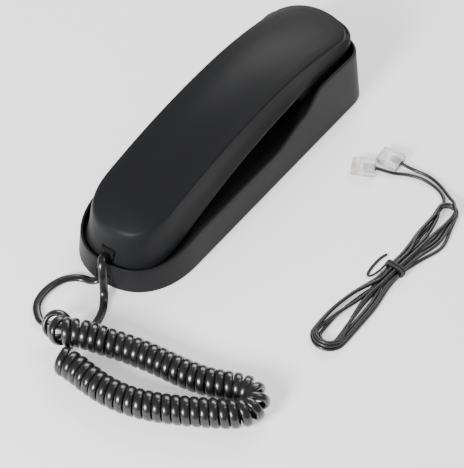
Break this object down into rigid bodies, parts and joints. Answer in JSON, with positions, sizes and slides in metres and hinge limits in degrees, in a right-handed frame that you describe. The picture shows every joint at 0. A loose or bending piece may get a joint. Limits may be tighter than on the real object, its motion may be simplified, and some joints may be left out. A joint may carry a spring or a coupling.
{
  "type": "slimline wall phone",
  "caption": "Slimline corded wall phone: handset with keys on its inner side on a cradle base with hook and ringer switch, curly cord, and a tied line cord.",
  "frame": {"origin": "middle of the base's footprint, on the surface the back rests on", "axes": "+Z out of the wall, from the back to the handset; +Y towards the earpiece end, which is up on a wall; +X to the right"},
  "size_m": [0.1514, 0.2502, 0.052],
  "materials": {
    "base_shell": "satin black moulding, very fine grain",
    "handset_shell": "satin charcoal moulding, very fine grain",
    "key": "smooth satin keys with pale printed legends",
    "rubber": "soft matte",
    "steel": "plain zinc plated",
    "circuit_board": "green laminate",
    "socket": "moulded",
    "capsule": "plain",
    "clear_plug": "clear moulded",
    "cord_jacket": "shiny flexible jacket",
    "line_jacket": "satin flexible jacket",
    "tie": "flat wire tie, plastic covered"
  },
  "bodies": {
    "base": {"base_housing": "base_shell", "base_plate": "base_shell", "foot_1": "rubber", "foot_2": "rubber", "foot_3": "rubber", "foot_4": "rubber", "base_screw_1": "steel", "base_screw_2": "steel", "base_screw_3": "steel", "base_circuit_board": "circuit_board", "base_cord_jack": "socket", "line_jack": "socket", "ringer_buzzer": "capsule", "hook_switch": "socket", "hook_spring": "steel", "volume_switch": "socket", "base_cord_plug": "clear_plug", "base_lead": "cord_jacket", "handset_lead": "cord_jacket", "coiled_cord": "cord_jacket", "line_cord_hank": "line_jacket", "line_lead_a": "line_jacket", "line_lead_b": "line_jacket", "line_plug_a": "clear_plug", "line_plug_b": "clear_plug", "hank_tie": "tie"},
    "handset": {"handset_back_shell": "handset_shell", "handset_front_shell": "handset_shell", "key_mat": "rubber", "handset_circuit_board": "circuit_board", "receiver_gasket": "rubber", "receiver_capsule": "capsule", "microphone_boot": "rubber", "microphone_capsule": "capsule", "handset_cord_jack": "socket", "handset_screw_1": "steel", "handset_screw_2": "steel", "handset_cord_plug": "clear_plug"},
    "hook_plunger": {"hook_plunger": "handset_shell"},
    "ringer_slider": {"ringer_slider": "handset_shell"},
    "key_1": {"key_1": "key"},
    "key_2": {"key_2": "key"},
    "key_3": {"key_3": "key"},
    "key_4": {"key_4": "key"},
    "key_5": {"key_5": "key"},
    "key_6": {"key_6": "key"},
    "key_7": {"key_7": "key"},
    "key_8": {"key_8": "key"},
    "key_9": {"key_9": "key"},
    "key_star": {"key_star": "key"},
    "key_0": {"key_0": "key"},
    "key_hash": {"key_hash": "key"},
    "key_redial": {"key_redial": "key"},
    "key_flash": {"key_flash": "key"},
    "key_mute": {"key_mute": "key"}
  },
  "joints": [
    {"name": "handset_lift", "type": "slide", "parent": "base", "child": "handset", "axis": [0, 0, 1], "range_m": [0, 0.06]},
    {"name": "hook_travel", "type": "slide", "parent": "base", "child": "hook_plunger", "axis": [0, 0, 1], "range_m": [0, 0.004], "deforming": ["hook_spring"]},
    {"name": "ringer_volume", "type": "slide", "parent": "base", "child": "ringer_slider", "axis": [0, 1, 0], "range_m": [-0.003, 0.003]},
    {"name": "key_1_press", "type": "slide", "parent": "handset", "child": "key_1", "axis": [0, -0.1289, 0.9917], "range_m": [0, 0.0012], "stiffness_N_per_m": 250, "springref_m": -0.0004},
    {"name": "key_2_press", "type": "slide", "parent": "handset", "child": "key_2", "axis": [0, -0.1289, 0.9917], "range_m": [0, 0.0012], "stiffness_N_per_m": 250, "springref_m": -0.0004},
    {"name": "key_3_press", "type": "slide", "parent": "handset", "child": "key_3", "axis": [0, -0.1289, 0.9917], "range_m": [0, 0.0012], "stiffness_N_per_m": 250, "springref_m": -0.0004},
    {"name": "key_4_press", "type": "slide", "parent": "handset", "child": "key_4", "axis": [0, -0.1289, 0.9917], "range_m": [0, 0.0012], "stiffness_N_per_m": 250, "springref_m": -0.0004},
    {"name": "key_5_press", "type": "slide", "parent": "handset", "child": "key_5", "axis": [0, -0.1289, 0.9917], "range_m": [0, 0.0012], "stiffness_N_per_m": 250, "springref_m": -0.0004},
    {"name": "key_6_press", "type": "slide", "parent": "handset", "child": "key_6", "axis": [0, -0.1289, 0.9917], "range_m": [0, 0.0012], "stiffness_N_per_m": 250, "springref_m": -0.0004},
    {"name": "key_7_press", "type": "slide", "parent": "handset", "child": "key_7", "axis": [0, -0.1289, 0.9917], "range_m": [0, 0.0012], "stiffness_N_per_m": 250, "springref_m": -0.0004},
    {"name": "key_8_press", "type": "slide", "parent": "handset", "child": "key_8", "axis": [0, -0.1289, 0.9917], "range_m": [0, 0.0012], "stiffness_N_per_m": 250, "springref_m": -0.0004},
    {"name": "key_9_press", "type": "slide", "parent": "handset", "child": "key_9", "axis": [0, -0.1289, 0.9917], "range_m": [0, 0.0012], "stiffness_N_per_m": 250, "springref_m": -0.0004},
    {"name": "key_star_press", "type": "slide", "parent": "handset", "child": "key_star", "axis": [0, -0.1289, 0.9917], "range_m": [0, 0.0012], "stiffness_N_per_m": 250, "springref_m": -0.0004},
    {"name": "key_0_press", "type": "slide", "parent": "handset", "child": "key_0", "axis": [0, -0.1289, 0.9917], "range_m": [0, 0.0012], "stiffness_N_per_m": 250, "springref_m": -0.0004},
    {"name": "key_hash_press", "type": "slide", "parent": "handset", "child": "key_hash", "axis": [0, -0.1289, 0.9917], "range_m": [0, 0.0012], "stiffness_N_per_m": 250, "springref_m": -0.0004},
    {"name": "key_redial_press", "type": "slide", "parent": "handset", "child": "key_redial", "axis": [0, -0.1289, 0.9917], "range_m": [0, 0.0012], "stiffness_N_per_m": 250, "springref_m": -0.0004},
    {"name": "key_flash_press", "type": "slide", "parent": "handset", "child": "key_flash", "axis": [0, -0.1289, 0.9917], "range_m": [0, 0.0012], "stiffness_N_per_m": 250, "springref_m": -0.0004},
    {"name": "key_mute_press", "type": "slide", "parent": "handset", "child": "key_mute", "axis": [0, -0.1289, 0.9917], "range_m": [0, 0.0012], "stiffness_N_per_m": 250, "springref_m": -0.0004}
  ],
  "couplings": [
    {"joint": "hook_travel", "follows": "handset_lift", "ratio": 0.066667}
  ]
}
